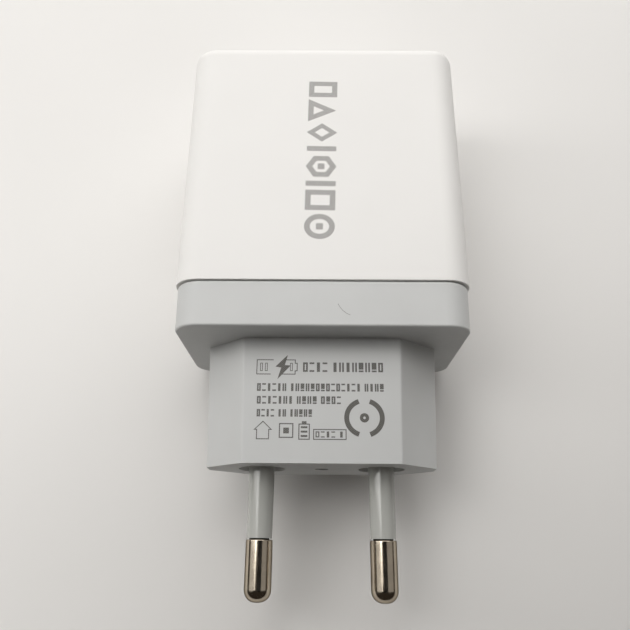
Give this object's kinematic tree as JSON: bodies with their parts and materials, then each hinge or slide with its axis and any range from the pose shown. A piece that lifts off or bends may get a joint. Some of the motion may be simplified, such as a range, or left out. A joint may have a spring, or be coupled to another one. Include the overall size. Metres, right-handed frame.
{
  "type": "usb wall charger",
  "caption": "Compact wall charger: white rounded case on a grey cap with a long boss and round sleeved mains pins, USB-A sockets on the far end.",
  "frame": {"origin": "midway between the two pins, on the plug face that meets the wall socket", "axes": "+Y from the wall socket into the case towards the USB sockets, +Z out of the printed face, +X to the right of the printed face with the pins pointing down; the case lies on its back at -Z"},
  "size_m": [0.0462, 0.0912, 0.026],
  "materials": {
    "white_plastic": "satin",
    "grey_plastic": "fine texture",
    "sleeve_plastic": "glossy",
    "nickel_plate": "nickel plated, drawn",
    "tinned_steel": "bright tinned sheet",
    "gold_plate": "gold flash",
    "fibreglass": "solder resist",
    "ferrite": "sintered",
    "tape": "polyester tape over copper",
    "black_resin": "moulded",
    "can_sleeve_dark": "heat-shrink sleeve",
    "can_sleeve_green": "heat-shrink sleeve",
    "blue_epoxy": "dipped",
    "resistor_coat": "cement coat",
    "chip_ceramic": "glazed",
    "brown_lead": "PVC",
    "blue_lead": "PVC",
    "tongue_plastic": "moulded",
    "fish_paper": "pressed card"
  },
  "bodies": {
    "charger": {"main_housing": "white_plastic", "base_cap": "grey_plastic", "left_pin": "nickel_plate", "right_pin": "nickel_plate", "left_pin_sleeve": "sleeve_plastic", "right_pin_sleeve": "sleeve_plastic", "pin_retainer": "grey_plastic", "retainer_screws": "tinned_steel", "live_lead": "brown_lead", "neutral_lead": "blue_lead", "main_board": "fibreglass", "fuse_resistor": "resistor_coat", "bridge_rectifier": "black_resin", "input_choke": "ferrite", "input_capacitor_1": "can_sleeve_dark", "input_capacitor_2": "can_sleeve_dark", "transformer_core": "ferrite", "transformer_bobbin": "black_resin", "transformer_winding": "tape", "controller_chip": "black_resin", "y_capacitor": "blue_epoxy", "optocoupler": "black_resin", "output_diode": "black_resin", "output_capacitor_1": "can_sleeve_green", "output_capacitor_2": "can_sleeve_green", "chip_resistors": "chip_ceramic", "usb_board": "fibreglass", "board_header": "black_resin", "charge_id_chip": "black_resin", "contact_tails": "gold_plate", "insulating_card": "fish_paper", "port_1_shell": "tinned_steel", "port_1_insulator": "tongue_plastic", "port_2_shell": "tinned_steel", "port_2_insulator": "tongue_plastic", "port_3_shell": "tinned_steel", "port_3_insulator": "tongue_plastic"},
    "port_1_contact_set": {"port_1_contacts": "gold_plate"},
    "port_2_contact_set": {"port_2_contacts": "gold_plate"},
    "port_3_contact_set": {"port_3_contacts": "gold_plate"}
  },
  "joints": [
    {"name": "port_1_contact_flex", "type": "hinge", "parent": "charger", "child": "port_1_contact_set", "pos_m": [-0.01214, 0.06, 0], "axis": [0, 0, -1], "range_deg": [0, 3], "stiffness_Nm_per_rad": 0.3},
    {"name": "port_2_contact_flex", "type": "hinge", "parent": "charger", "child": "port_2_contact_set", "pos_m": [0.00036, 0.06, 0], "axis": [0, 0, -1], "range_deg": [0, 3], "stiffness_Nm_per_rad": 0.3},
    {"name": "port_3_contact_flex", "type": "hinge", "parent": "charger", "child": "port_3_contact_set", "pos_m": [0.01286, 0.06, 0], "axis": [0, 0, -1], "range_deg": [0, 3], "stiffness_Nm_per_rad": 0.3}
  ]
}
